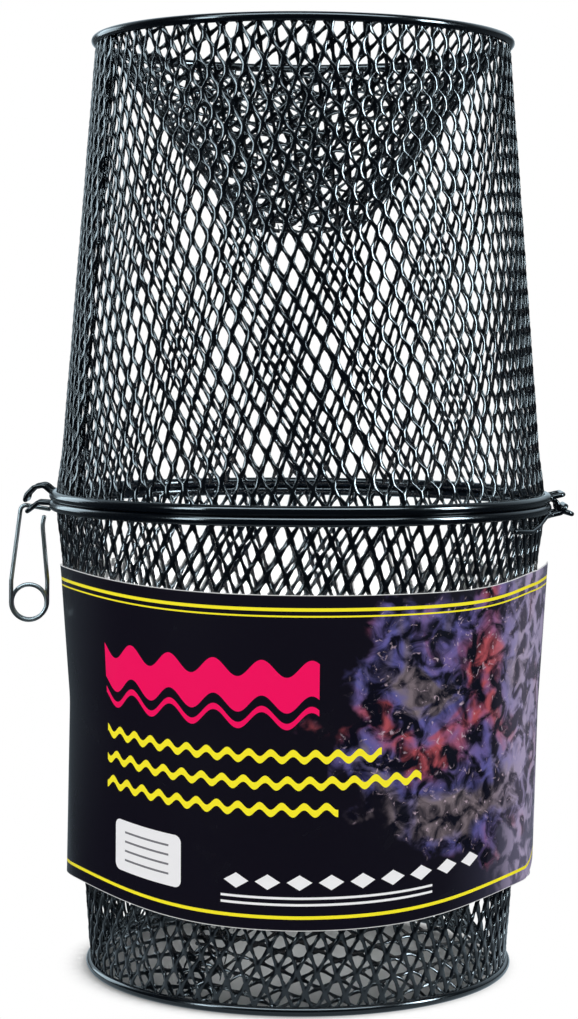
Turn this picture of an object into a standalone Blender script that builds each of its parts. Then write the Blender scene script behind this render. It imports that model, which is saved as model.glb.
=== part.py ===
"""Crayfish trap: two tapered wire-mesh baskets, hinged wide end to wide end.

The trap stands on the rim of its lower basket. Each half has a round wire rim at
both ends and a cone of mesh leading in at its small end. A spring clip hangs on
the left, wire hinge loops are on the right, and a card sleeve wraps the lower half.

Units are metres and +Z is up. Every half is drawn about the trap's own axis, then
moved sideways so that the origin is below the middle of the whole outline.
"""
import math

import bmesh
import bpy
from mathutils import Vector

MM = 0.001

# Overall sizes
TRAP_LENGTH = 419.1 * MM
SEAM_RIM_RADIUS = 111.7 * MM
END_RIM_RADIUS = 94.15 * MM
RIM_WIRE = 4.0 * MM
SEAM_GAP = 0.3 * MM
JOIN_GAP = 0.3 * MM
MESH_CLEARANCE = 0.35 * MM

# Mesh walls, drawn as a coarse lattice of the true outline
MESH_THICKNESS = 1.7 * MM
MESH_INSIDE_SEAM_RIM = 1.3 * MM
MESH_OUTSIDE_END_RIM = 0.25 * MM
WALL_CELLS = 16
WALL_ROWS = 8
WALL_STRAND = 5.0 * MM

# Entry funnels
FUNNEL_BASE_HEIGHT = 2.0 * MM
FUNNEL_DEPTH = 87.0 * MM
THROAT_DIAMETER = 51.0 * MM
FUNNEL_CELLS = 12
FUNNEL_ROWS = 4
FUNNEL_STRAND = 4.0 * MM

# Ears that hold the clip, on the left
EAR_WIRE = 2.2 * MM
LOWER_EAR_HALF_WIDTH = 4.5 * MM
LOWER_EAR_REACH = 12.5 * MM
LOWER_EAR_DROP = 3.5 * MM
UPPER_EAR_HALF_WIDTH = 7.5 * MM
UPPER_EAR_REACH = 13.0 * MM
UPPER_EAR_RISE = 4.2 * MM
LOWER_EAR_WELD_DEG = 14
UPPER_EAR_WELD_DEG = 42
UPPER_EAR_LEAN = 3.2 * MM
UPPER_EAR_BROW_IN = 3.9 * MM
UPPER_EAR_BROW_DROP = 0.9 * MM
UPPER_EAR_CHEEK_IN = 0.6 * MM
UPPER_EAR_CHEEK_DROP = 4.3 * MM
LOWER_EAR_BEND = EAR_WIRE
UPPER_EAR_BEND = EAR_WIRE * 1.2

# Spring clip
CLIP_WIRE = 2.0 * MM
CLIP_COIL_RADIUS = 8.0 * MM
CLIP_COIL_TURNS = 1.5
CLIP_COIL_GAP = 0.6 * MM
CLIP_COIL_PITCH = CLIP_WIRE + CLIP_COIL_GAP
CLIP_COIL_POINTS = 10
CLIP_COIL_INSET = 0.8 * MM
CLIP_DROP = 41.6 * MM
CLIP_CORNER_RADIUS = 2.6 * MM
CLIP_CORNER_OUT = 3.1 * MM
CLIP_CORNER_RISE = 0.5 * MM
CLIP_BAR_STAND_OFF = 2.6 * MM
CLIP_BAR_DROP = 1.6 * MM
CLIP_LEG_LEAD = 10.0 * MM
CLIP_WAIST_IN = 2.1 * MM
CLIP_WAIST_BELOW = 6.5 * MM
CLIP_TOP_IN = 1.4 * MM
CLIP_TOP_BELOW = 2.6 * MM
CLIP_LEG_BEND = 12.0 * MM

# Hinge wires, on the right
HINGE_WIRE = 2.2 * MM
PIN_REACH = 8.5 * MM
PIN_HALF_WIDTH = 9.0 * MM
PIN_LEVEL = 0.5 * MM
PIN_WINGS = ((34, -7.2 * MM), (25, -8.4 * MM), (20, -6.8 * MM), (9, -3.7 * MM))
PIN_UNDER_RIM_OUT = 1.6 * MM
PIN_UNDER_RIM_LIFT = 0.3 * MM
PIN_KNEE_IN = 2.2 * MM
PIN_KNEE_DROP = 3.0 * MM
TONGUE_HALF_WIDTH = 5.5 * MM
TONGUE_REACH = 3.1 * MM
TONGUE_DROP = 3.8 * MM
TONGUE_WELD_DEG = -21
TONGUE_STEM_IN = HINGE_WIRE + 1.3 * MM
TONGUE_SHOULDER_RISE = 1.7 * MM
TONGUE_HEEL_DROP = 1.8 * MM
GUIDE_HALF_WIDTH = 9.5 * MM
GUIDE_REACH = 7.2 * MM
GUIDE_RISE = 1.5 * MM
GUIDE_WELD_DEG = -4

# Card sleeve round the lower half
SLEEVE_BOTTOM = 38.0 * MM
SLEEVE_TOP = 177.0 * MM
SLEEVE_CARD = 0.5 * MM
SLEEVE_WAIST_HEIGHT = 118.0 * MM
SLEEVE_WAIST_SLACK = 1.7 * MM
SLEEVE_BOTTOM_SLACK = 6.1 * MM
SLEEVE_START_DEG = 70.0
SLEEVE_END_DEG = 448.0
SLEEVE_STEP_DEG = 7.0
SLEEVE_LAP_DEG = 25.0
SLEEVE_FLAP_LIFT = 2.6 * MM
SLEEVE_TOP_CORNER_RISE = 4.0 * MM
SLEEVE_BOTTOM_CORNER_RISE = 9.0 * MM

# Faceting of the round pieces
RIM_SEGMENTS = 48
RIM_SIDES = 8
BEND_STEPS = 4
GAP_SAMPLE = 0.25 * MM

# Lines that several pieces share
HALF_LENGTH = TRAP_LENGTH / 2
RIM_RADIUS = RIM_WIRE / 2
RIM_CORNER = RIM_RADIUS / math.cos(math.pi / RIM_SIDES)
LOWER_SEAM_RIM_Z = HALF_LENGTH - SEAM_GAP / 2 - RIM_RADIUS
UPPER_SEAM_RIM_Z = HALF_LENGTH + SEAM_GAP / 2 + RIM_RADIUS
WALL_SEAM_RADIUS = SEAM_RIM_RADIUS - MESH_INSIDE_SEAM_RIM
WALL_END_RADIUS = END_RIM_RADIUS + MESH_OUTSIDE_END_RIM
WALL_FOOT = RIM_WIRE + JOIN_GAP
WALL_HEAD = LOWER_SEAM_RIM_Z - RIM_RADIUS - JOIN_GAP
WELD = RIM_CORNER + JOIN_GAP

# The clip hangs on the cross bar of the lower ear
CLIP_PIVOT_X = -(SEAM_RIM_RADIUS + LOWER_EAR_REACH)
CLIP_PIVOT_Z = LOWER_SEAM_RIM_Z - LOWER_EAR_DROP
CLIP_HANG = (CLIP_WIRE + EAR_WIRE) / 2 + JOIN_GAP

# The halves turn on the cross bar of the hinge pin wire
PIN_X = SEAM_RIM_RADIUS + PIN_REACH
PIN_Z = LOWER_SEAM_RIM_Z + PIN_LEVEL

# The outline reaches these distances from the trap's axis
CLIP_SIDE_REACH = -CLIP_PIVOT_X - CLIP_COIL_INSET + CLIP_COIL_RADIUS + CLIP_WIRE / 2
HINGE_SIDE_REACH = PIN_X + TONGUE_REACH + HINGE_WIRE / 2
AXIS_X = (CLIP_SIDE_REACH - HINGE_SIDE_REACH) / 2

BLACK_VINYL = (0.012, 0.013, 0.017, 1.0)
SPRING_STEEL = (0.62, 0.63, 0.65, 1.0)
BLACK_CARD = (0.010, 0.008, 0.018, 1.0)
VINYL_ROUGHNESS = 0.25
STEEL_ROUGHNESS = 0.22
CARD_ROUGHNESS = 0.35


def clear_scene():
    """Empty the file before the trap is built."""
    for leftover in list(bpy.data.objects):
        bpy.data.objects.remove(leftover, do_unlink=True)


def finish(piece, color, roughness, metallic):
    """Give a piece a Principled material of its own."""
    look = bpy.data.materials.new(piece.name + "_finish")
    look.use_nodes = True
    shader = look.node_tree.nodes["Principled BSDF"]
    shader.inputs["Base Color"].default_value = color
    shader.inputs["Roughness"].default_value = roughness
    shader.inputs["Metallic"].default_value = metallic
    piece.data.materials.append(look)


def vinyl(piece):
    """Finish a piece in glossy black vinyl coating."""
    finish(piece, BLACK_VINYL, VINYL_ROUGHNESS, 0.0)


def axis_empty(name, x, z, parent=None):
    """Make an empty at (x, z) from the trap's axis, to carry one moving body."""
    empty = bpy.data.objects.new(name, None)
    empty.empty_display_size = 10 * MM
    bpy.context.collection.objects.link(empty)
    empty.location = (x, 0, z)
    if parent is not None:
        empty.parent = parent
        empty.location = Vector((x, 0, z)) - Vector((parent["axis_x"], 0, parent["axis_z"]))
    empty["axis_x"] = x
    empty["axis_z"] = z
    return empty


def place(piece, body):
    """Hang a piece, drawn about the trap's axis, from the empty of its body."""
    piece.parent = body
    piece.location = (-body["axis_x"], 0, -body["axis_z"])


def face_outward(shape):
    """Turn every face of an open shell away from the trap's axis."""
    shape.normal_update()
    for face in shape.faces:
        middle = face.calc_center_median()
        if face.normal.x * middle.x + face.normal.y * middle.y < 0:
            face.normal_flip()


def mesh_object(name, shape):
    """Turn a bmesh into a linked object."""
    mesh = bpy.data.meshes.new(name)
    shape.to_mesh(mesh)
    shape.free()
    piece = bpy.data.objects.new(name, mesh)
    bpy.context.collection.objects.link(piece)
    return piece


def wall_radius(height):
    """Outer radius of a basket at a height above its own small end."""
    return WALL_END_RADIUS + (WALL_SEAM_RADIUS - WALL_END_RADIUS) * height / HALF_LENGTH


def mirrored(height, upper):
    """Height in the trap of a height above the small end of the lower or upper half."""
    return TRAP_LENGTH - height if upper else height


def rim(name, radius, height, body):
    """Round wire rim, eight-sided in section with flats above and below."""
    shape = bmesh.new()
    section = []
    for side in range(RIM_SIDES):
        angle = 2 * math.pi * (side + 0.5) / RIM_SIDES
        x = radius + RIM_CORNER * math.cos(angle)
        z = height + RIM_CORNER * math.sin(angle)
        section.append(shape.verts.new((x, 0, z)))
    edges = []
    for side in range(RIM_SIDES):
        edges.append(shape.edges.new((section[side], section[(side + 1) % RIM_SIDES])))
    bmesh.ops.spin(shape, geom=section + edges, cent=(0, 0, 0), axis=(0, 0, 1),
                   angle=2 * math.pi, steps=RIM_SEGMENTS, use_merge=True)
    bmesh.ops.recalc_face_normals(shape, faces=shape.faces)
    piece = mesh_object(name, shape)
    vinyl(piece)
    place(piece, body)
    return piece


def lattice_cone(name, foot, head, cells, rows, strand, body):
    """Open cone of diamond lattice between two (radius, height) edges of its outer face."""
    shape = bmesh.new()
    grid = []
    for row in range(rows + 1):
        share = row / rows
        radius = foot[0] + (head[0] - foot[0]) * share
        height = foot[1] + (head[1] - foot[1]) * share
        edge_row = row in (0, rows)
        ring = []
        for half_cell in range(2 * cells):
            on_lattice = (half_cell + row) % 2 == 0
            if not on_lattice and not edge_row:
                ring.append(None)
                continue
            angle = math.pi * half_cell / cells
            ring.append(shape.verts.new((radius * math.cos(angle), radius * math.sin(angle), height)))
        grid.append(ring)
    count = 2 * cells
    for row in range(rows + 1):
        for half_cell in range(count):
            if (half_cell + row) % 2 == 0:
                continue
            left = grid[row][(half_cell - 1) % count]
            right = grid[row][(half_cell + 1) % count]
            below = grid[row - 1][half_cell] if row > 0 else grid[row][half_cell]
            above = grid[row + 1][half_cell] if row < rows else grid[row][half_cell]
            shape.faces.new((left, below, right, above))
    face_outward(shape)
    cells_made = list(shape.faces)
    bmesh.ops.inset_individual(shape, faces=cells_made, thickness=strand / 2, use_even_offset=True)
    bmesh.ops.delete(shape, geom=cells_made, context="FACES")
    piece = mesh_object(name, shape)
    shell = piece.modifiers.new("mesh thickness", "SOLIDIFY")
    shell.thickness = MESH_THICKNESS
    shell.offset = -1.0
    shell.use_even_offset = True
    vinyl(piece)
    place(piece, body)
    return piece


def basket(name, upper, body):
    """Tapered mesh wall between the end rim and the seam rim of one half."""
    foot = (wall_radius(WALL_FOOT), mirrored(WALL_FOOT, upper))
    head = (wall_radius(WALL_HEAD), mirrored(WALL_HEAD, upper))
    return lattice_cone(name, foot, head, WALL_CELLS, WALL_ROWS, WALL_STRAND, body)


def funnel(name, upper, body):
    """Mesh cone leading in from the end rim to the throat."""
    rim_inside = (END_RIM_RADIUS - RIM_RADIUS) * math.cos(math.pi / RIM_SEGMENTS)
    foot = (rim_inside - JOIN_GAP, mirrored(FUNNEL_BASE_HEIGHT, upper))
    throat = THROAT_DIAMETER / 2 + MESH_THICKNESS
    head = (throat, mirrored(FUNNEL_DEPTH, upper))
    return lattice_cone(name, foot, head, FUNNEL_CELLS, FUNNEL_ROWS, FUNNEL_STRAND, body)


def rounded(corners, radius):
    """Points of a path through the corners, each inner corner turned on an arc."""
    points = [corners[0]]
    for before, corner, after in zip(corners, corners[1:], corners[2:]):
        back = (before - corner).normalized()
        ahead = (after - corner).normalized()
        half_angle = back.angle(ahead) / 2
        room = 0.49 * min((before - corner).length, (after - corner).length)
        cut = min(radius / math.tan(half_angle), room)
        bend = cut * math.tan(half_angle)
        middle = corner + (back + ahead).normalized() * math.hypot(cut, bend)
        start = corner + back * cut - middle
        sweep = math.pi - 2 * half_angle
        turn_axis = start.cross(corner + ahead * cut - middle).normalized()
        side = turn_axis.cross(start)
        for step in range(BEND_STEPS + 1):
            angle = sweep * step / BEND_STEPS
            points.append(middle + start * math.cos(angle) + side * math.sin(angle))
    points.append(corners[-1])
    return points


def wire(name, points, diameter, resolution, body):
    """Round wire along the points, as a bevelled curve with capped ends."""
    curve = bpy.data.curves.new(name, "CURVE")
    curve.dimensions = "3D"
    curve.bevel_depth = diameter / 2
    curve.bevel_resolution = resolution
    curve.use_fill_caps = True
    spline = curve.splines.new("POLY")
    spline.points.add(len(points) - 1)
    for point, place_at in zip(spline.points, points):
        point.co = (*place_at, 1.0)
    spline.use_smooth = True
    piece = bpy.data.objects.new(name, curve)
    bpy.context.collection.objects.link(piece)
    place(piece, body)
    return piece


def staple(side_line, half_width):
    """Corners of a U loop whose two legs follow (x, z) points and meet in a cross bar."""
    near = [Vector((x, -half_width, z)) for x, z in side_line]
    far = [Vector((x, half_width, z)) for x, z in reversed(side_line)]
    return near + far


def rim_middle(half_width):
    """How far out the seam rim's middle line is where a leg meets it."""
    return math.sqrt(SEAM_RIM_RADIUS ** 2 - half_width ** 2)


def weld_point(side, half_width, height, angle_deg):
    """Point beside the seam rim's surface, at an angle above the level."""
    angle = math.radians(angle_deg)
    x = rim_middle(half_width) + WELD * math.cos(angle)
    return side * x, height + WELD * math.sin(angle)


def lower_clip_ear(body):
    """U loop on the lower rim, bent down to the cross bar that the clip hangs on."""
    start = weld_point(-1, LOWER_EAR_HALF_WIDTH, LOWER_SEAM_RIM_Z, LOWER_EAR_WELD_DEG)
    shoulder_x = (start[0] + CLIP_PIVOT_X) / 2
    line = [start, (shoulder_x, start[1]), (CLIP_PIVOT_X, CLIP_PIVOT_Z)]
    corners = staple(line, LOWER_EAR_HALF_WIDTH)
    piece = wire("lower_clip_ear", rounded(corners, LOWER_EAR_BEND), EAR_WIRE, 2, body)
    vinyl(piece)


def upper_clip_ear(body):
    """Claw-shaped U loop on the upper rim that comes down over the clip's bar."""
    start = weld_point(-1, UPPER_EAR_HALF_WIDTH, UPPER_SEAM_RIM_Z, UPPER_EAR_WELD_DEG)
    tip_x = -(SEAM_RIM_RADIUS + UPPER_EAR_REACH)
    tip_z = CLIP_PIVOT_Z + CLIP_CORNER_RADIUS + CLIP_HANG + JOIN_GAP
    crown = UPPER_SEAM_RIM_Z + UPPER_EAR_RISE
    brow = (tip_x + UPPER_EAR_BROW_IN, crown - UPPER_EAR_BROW_DROP)
    cheek = (tip_x + UPPER_EAR_CHEEK_IN, crown - UPPER_EAR_CHEEK_DROP)
    line = [start, (start[0] - UPPER_EAR_LEAN, crown), brow, cheek, (tip_x, tip_z)]
    corners = staple(line, UPPER_EAR_HALF_WIDTH)
    piece = wire("upper_clip_ear", rounded(corners, UPPER_EAR_BEND), EAR_WIRE, 2, body)
    vinyl(piece)


def clip_points():
    """Middle line of the clip: bar, left leg, coil, right leg."""
    coil_x = CLIP_PIVOT_X + CLIP_COIL_INSET
    coil_z = CLIP_PIVOT_Z - CLIP_DROP
    half_pitch_run = CLIP_COIL_PITCH * CLIP_COIL_TURNS / 2
    bar_z = CLIP_PIVOT_Z + CLIP_HANG
    corner = Vector((CLIP_PIVOT_X - CLIP_CORNER_OUT, 0, bar_z + CLIP_CORNER_RISE))
    bar_end = Vector((-(SEAM_RIM_RADIUS + CLIP_BAR_STAND_OFF), 0, bar_z - CLIP_BAR_DROP))
    coil_start = Vector((coil_x - CLIP_COIL_RADIUS, -half_pitch_run, coil_z))
    coil_stop = Vector((coil_x + CLIP_COIL_RADIUS, half_pitch_run, coil_z))
    lead = Vector((0, 0, CLIP_LEG_LEAD))
    left_leg = rounded([bar_end, corner, coil_start + lead, coil_start], CLIP_CORNER_RADIUS)
    points = left_leg[:-1]
    steps = round(CLIP_COIL_POINTS * CLIP_COIL_TURNS)
    for step in range(steps + 1):
        share = step / steps
        angle = math.pi + 2 * math.pi * CLIP_COIL_TURNS * share
        y = -half_pitch_run + 2 * half_pitch_run * share
        points.append(Vector((coil_x + CLIP_COIL_RADIUS * math.cos(angle), y,
                              coil_z + CLIP_COIL_RADIUS * math.sin(angle))))
    waist = coil_stop + Vector((-CLIP_WAIST_IN, -half_pitch_run, CLIP_DROP - CLIP_WAIST_BELOW))
    top = coil_stop + Vector((-CLIP_TOP_IN, -half_pitch_run, CLIP_DROP - CLIP_TOP_BELOW))
    points += rounded([coil_stop, coil_stop + lead, waist, top], CLIP_LEG_BEND)[1:]
    return points


def least_gap(points, diameter):
    """Least clear distance between stretches of one wire that aren't neighbours."""
    dense = []
    for start, stop in zip(points, points[1:]):
        steps = max(1, int((stop - start).length / GAP_SAMPLE))
        dense += [start.lerp(stop, step / steps) for step in range(steps)]
    lengths = [0.0]
    for start, stop in zip(dense, dense[1:]):
        lengths.append(lengths[-1] + (stop - start).length)
    least = math.inf
    for first, near in enumerate(dense):
        for second in range(first + 1, len(dense), 2):
            if lengths[second] - lengths[first] > math.pi * diameter:
                least = min(least, (dense[second] - near).length)
    return least - diameter


def spring_clip(body):
    """Safety-pin clip of bright spring wire."""
    points = clip_points()
    print("spring_clip least gap to itself: %.2f mm" % (least_gap(points, CLIP_WIRE) / MM))
    piece = wire("spring_clip", points, CLIP_WIRE, 1, body)
    finish(piece, SPRING_STEEL, STEEL_ROUGHNESS, 1.0)


def hinge_pin_wire(body):
    """Wire with wings along the lower basket and a loop out to the hinge pin."""
    clear = HINGE_WIRE / 2 + JOIN_GAP
    near = []
    for angle_deg, level in PIN_WINGS:
        height = LOWER_SEAM_RIM_Z + level
        radius = wall_radius(height) + clear + MESH_CLEARANCE
        angle = math.radians(-angle_deg)
        near.append(Vector((radius * math.cos(angle), radius * math.sin(angle), height)))
    under_rim_z = LOWER_SEAM_RIM_Z - WELD - clear + PIN_UNDER_RIM_LIFT
    under_rim = (SEAM_RIM_RADIUS + PIN_UNDER_RIM_OUT, under_rim_z)
    knee = (PIN_X - PIN_KNEE_IN, PIN_Z - PIN_KNEE_DROP)
    for x, z in (under_rim, knee, (PIN_X, PIN_Z)):
        near.append(Vector((x, -PIN_HALF_WIDTH, z)))
    far = [Vector((point.x, -point.y, point.z)) for point in reversed(near)]
    piece = wire("hinge_pin_wire", rounded(near + far, HINGE_WIRE), HINGE_WIRE, 2, body)
    vinyl(piece)


def hinge_tongue(body):
    """U loop on the upper rim, passing down through the pin loop and out below the pin."""
    start = weld_point(1, TONGUE_HALF_WIDTH, UPPER_SEAM_RIM_Z, TONGUE_WELD_DEG)
    shoulder = (PIN_X - TONGUE_STEM_IN, PIN_Z + TONGUE_SHOULDER_RISE)
    heel = (PIN_X - TONGUE_STEM_IN, PIN_Z - TONGUE_HEEL_DROP)
    tip = (PIN_X + TONGUE_REACH, PIN_Z - TONGUE_DROP)
    corners = staple([start, shoulder, heel, tip], TONGUE_HALF_WIDTH)
    piece = wire("hinge_tongue", rounded(corners, HINGE_WIRE), HINGE_WIRE, 2, body)
    vinyl(piece)


def hinge_guide(body):
    """U loop on the upper rim that slants up over the hinge pin."""
    start = weld_point(1, GUIDE_HALF_WIDTH, UPPER_SEAM_RIM_Z, GUIDE_WELD_DEG)
    tip = (SEAM_RIM_RADIUS + GUIDE_REACH, UPPER_SEAM_RIM_Z + GUIDE_RISE)
    corners = staple([start, tip], GUIDE_HALF_WIDTH)
    piece = wire("hinge_guide", rounded(corners, HINGE_WIRE), HINGE_WIRE, 2, body)
    vinyl(piece)


def ease(share):
    """Smooth step from 0 to 1."""
    share = min(1.0, max(0.0, share))
    return share * share * (3 - 2 * share)


def sleeve_inner_radius(height):
    """Inner radius of the card: it bears on the basket at its top and stands off below."""
    bearing = wall_radius(SLEEVE_TOP) + MESH_CLEARANCE + JOIN_GAP / 2
    waist = wall_radius(SLEEVE_WAIST_HEIGHT) + SLEEVE_WAIST_SLACK
    foot = wall_radius(SLEEVE_BOTTOM) + SLEEVE_BOTTOM_SLACK
    if height >= SLEEVE_WAIST_HEIGHT:
        share = (height - SLEEVE_WAIST_HEIGHT) / (SLEEVE_TOP - SLEEVE_WAIST_HEIGHT)
        return waist + (bearing - waist) * share
    share = (height - SLEEVE_BOTTOM) / (SLEEVE_WAIST_HEIGHT - SLEEVE_BOTTOM)
    return foot + (waist - foot) * share


def label_sleeve(body):
    """Card wrapped once round, its free end lapped over its start and lifting."""
    shape = bmesh.new()
    lap_to = SLEEVE_START_DEG + 360
    lap_from = lap_to - SLEEVE_LAP_DEG
    columns = round((SLEEVE_END_DEG - SLEEVE_START_DEG) / SLEEVE_STEP_DEG)
    rows = (SLEEVE_BOTTOM, SLEEVE_WAIST_HEIGHT, SLEEVE_TOP)
    grid = []
    for column in range(columns + 1):
        turn_deg = SLEEVE_START_DEG + (SLEEVE_END_DEG - SLEEVE_START_DEG) * column / columns
        lap = ease((turn_deg - lap_from) / (lap_to - lap_from)) * (SLEEVE_CARD + JOIN_GAP)
        lifted = ease((turn_deg - lap_to) / (SLEEVE_END_DEG - lap_to))
        angle = math.radians(turn_deg)
        line = []
        for row, height in enumerate(rows):
            rise = (SLEEVE_BOTTOM_CORNER_RISE, 0.0, SLEEVE_TOP_CORNER_RISE)[row] * lifted
            radius = sleeve_inner_radius(height) + lap + SLEEVE_FLAP_LIFT * lifted + SLEEVE_CARD
            line.append(shape.verts.new((radius * math.sin(angle), -radius * math.cos(angle),
                                         height + rise)))
        grid.append(line)
    for column in range(columns):
        for row in range(len(rows) - 1):
            shape.faces.new((grid[column][row], grid[column + 1][row],
                             grid[column + 1][row + 1], grid[column][row + 1]))
    face_outward(shape)
    piece = mesh_object("label_sleeve", shape)
    card = piece.modifiers.new("card thickness", "SOLIDIFY")
    card.thickness = SLEEVE_CARD
    card.offset = -1.0
    card.use_even_offset = True
    finish(piece, BLACK_CARD, CARD_ROUGHNESS, 0.0)
    place(piece, body)


def build_half(prefix, upper, body):
    """The rims, mesh wall and funnel that both halves have alike."""
    seam_z = UPPER_SEAM_RIM_Z if upper else LOWER_SEAM_RIM_Z
    rim(prefix + "_end_rim", END_RIM_RADIUS, mirrored(RIM_RADIUS, upper), body)
    rim(prefix + "_seam_rim", SEAM_RIM_RADIUS, seam_z, body)
    basket(prefix + "_basket", upper, body)
    funnel(prefix + "_funnel", upper, body)


def build_trap():
    """Build the lower half, the hinged upper half and the clip."""
    clear_scene()
    lower = axis_empty("lower_half_axis", 0.0, 0.0)
    lower.location.x = AXIS_X
    upper = axis_empty("lid_hinge_axis", PIN_X, PIN_Z, lower)
    clip = axis_empty("clip_pivot_axis", CLIP_PIVOT_X, CLIP_PIVOT_Z, lower)
    build_half("lower", False, lower)
    lower_clip_ear(lower)
    hinge_pin_wire(lower)
    label_sleeve(lower)
    build_half("upper", True, upper)
    upper_clip_ear(upper)
    hinge_tongue(upper)
    hinge_guide(upper)
    spring_clip(clip)
    print("hinge pin at x %.3f z %.3f mm" % ((PIN_X + AXIS_X) / MM, PIN_Z / MM))
    print("clip pivot at x %.3f z %.3f mm" % ((CLIP_PIVOT_X + AXIS_X) / MM, CLIP_PIVOT_Z / MM))


build_trap()
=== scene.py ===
"""Crayfish trap: the looks of its wire mesh, rims, hinge wires, spring clip and card sleeve.

Every piece is drawn about the trap's own axis in metres, with +Z up, and stands where
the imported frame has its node. Azimuths are degrees from the front (-Y) towards +X.
"""
import math

import bmesh
import bpy
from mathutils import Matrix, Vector


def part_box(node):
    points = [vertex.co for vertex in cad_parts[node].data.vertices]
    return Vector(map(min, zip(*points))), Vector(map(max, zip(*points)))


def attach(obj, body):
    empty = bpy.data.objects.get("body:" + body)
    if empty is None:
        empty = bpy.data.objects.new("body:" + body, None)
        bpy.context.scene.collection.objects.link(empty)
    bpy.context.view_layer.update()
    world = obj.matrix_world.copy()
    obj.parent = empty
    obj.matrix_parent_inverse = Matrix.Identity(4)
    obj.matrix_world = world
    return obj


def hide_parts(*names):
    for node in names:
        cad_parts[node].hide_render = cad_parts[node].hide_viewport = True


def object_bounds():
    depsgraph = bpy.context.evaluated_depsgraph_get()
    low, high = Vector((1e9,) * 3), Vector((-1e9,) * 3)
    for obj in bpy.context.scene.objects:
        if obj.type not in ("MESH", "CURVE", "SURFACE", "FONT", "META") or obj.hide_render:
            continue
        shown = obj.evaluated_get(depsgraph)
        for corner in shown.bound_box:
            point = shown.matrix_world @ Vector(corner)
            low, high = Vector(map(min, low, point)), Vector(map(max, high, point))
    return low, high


bl_info = {
    "name": "Crayfish trap",
    "version": (1, 0, 0),
    "blender": (4, 5, 0),
    "location": "View3D > Sidebar > Trap",
    "description": "Wire mesh trap of two hinged halves with a spring clip and a card sleeve",
    "category": "Object",
}

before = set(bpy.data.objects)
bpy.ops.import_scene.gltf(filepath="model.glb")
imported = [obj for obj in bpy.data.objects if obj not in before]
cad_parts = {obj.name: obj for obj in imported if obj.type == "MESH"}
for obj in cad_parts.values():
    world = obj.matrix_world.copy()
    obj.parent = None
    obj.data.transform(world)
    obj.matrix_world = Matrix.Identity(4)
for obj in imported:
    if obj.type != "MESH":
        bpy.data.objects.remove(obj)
CAD_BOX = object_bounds()

MM = 0.001
FULL_TURN = 2 * math.pi


def box_middle(node):
    """Middle of a node's box at rest."""
    low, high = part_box(node)
    return (low + high) / 2


def box_size(node):
    """Sides of a node's box at rest."""
    low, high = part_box(node)
    return high - low


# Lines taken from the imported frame
AXIS_X = box_middle("lower_seam_rim").x
TRAP_LENGTH = CAD_BOX[1].z
RIM_RADIUS = box_size("lower_seam_rim").z / 2
SEAM_RIM_RADIUS = box_size("lower_seam_rim").x / 2 - RIM_RADIUS
END_RIM_RADIUS = box_size("lower_end_rim").x / 2 - RIM_RADIUS
LOWER_SEAM_RIM_Z = box_middle("lower_seam_rim").z
UPPER_SEAM_RIM_Z = box_middle("upper_seam_rim").z

# Gap between joined pieces, and a weld's distance from the middle of the rim wire
JOIN_GAP = 0.3 * MM
WELD = RIM_RADIUS / math.cos(math.pi / 8) + JOIN_GAP

# Faces of the mesh walls and funnels
WALL_SEAM_RADIUS = SEAM_RIM_RADIUS - 1.3 * MM
WALL_END_RADIUS = END_RIM_RADIUS + 0.25 * MM
WALL_FOOT_Z = 2 * RIM_RADIUS - 0.9 * MM
WALL_HEAD_Z = LOWER_SEAM_RIM_Z + 1.4 * MM
WALL_LAP_DEG = 20.0
FUNNEL_FOOT_RADIUS = END_RIM_RADIUS - 2.7 * MM
FUNNEL_FOOT_Z = 3.5 * MM
FUNNEL_THROAT_RADIUS = 27.2 * MM
FUNNEL_THROAT_Z = 87.0 * MM
FUNNEL_LAP_DEG = 14.0

# Clip and hinge lines
EAR_WIRE = 2.2 * MM
CLIP_WIRE = 2.0 * MM
CLIP_PIVOT_X = -(SEAM_RIM_RADIUS + 12.5 * MM)
CLIP_PIVOT_Z = LOWER_SEAM_RIM_Z - 3.5 * MM
CLIP_HANG = (CLIP_WIRE + EAR_WIRE) / 2 + JOIN_GAP
HINGE_WIRE = 2.2 * MM
PIN_X = SEAM_RIM_RADIUS + 8.5 * MM
PIN_Z = LOWER_SEAM_RIM_Z + 0.5 * MM

# Welded legs: how deep a leg and its bead go into the rim wire, and the bead's size in radii
LEG_DEPTH = 0.6
BEAD_DEPTH = 0.35
BEAD_SIZES = (1.25, 1.6, 1.3)

# Colours of the stage
WHITE = (1.0, 1.0, 1.0)
COOL_WHITE = (0.70, 0.88, 1.0)
BLACK = (0.0, 0.0, 0.0)


def sign(operation, swapped=False):
    """Method that stands for one of Python's signs."""
    def work(self, other):
        values = (other, self) if swapped else (self, other)
        return self.nodes.math(operation, *values)
    return work


class Socket:
    """A number socket that Python's own signs work on."""

    def __init__(self, nodes, socket):
        self.nodes = nodes
        self.socket = socket

    __add__, __radd__ = sign("ADD"), sign("ADD", swapped=True)
    __sub__, __rsub__ = sign("SUBTRACT"), sign("SUBTRACT", swapped=True)
    __mul__, __rmul__ = sign("MULTIPLY"), sign("MULTIPLY", swapped=True)
    __truediv__, __rtruediv__ = sign("DIVIDE"), sign("DIVIDE", swapped=True)
    __mod__ = sign("FLOORED_MODULO")
    __lt__, __gt__ = sign("LESS_THAN"), sign("GREATER_THAN")

    def __neg__(self):
        return self * -1.0

    def __abs__(self):
        return self.nodes.math("ABSOLUTE", self)


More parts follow.
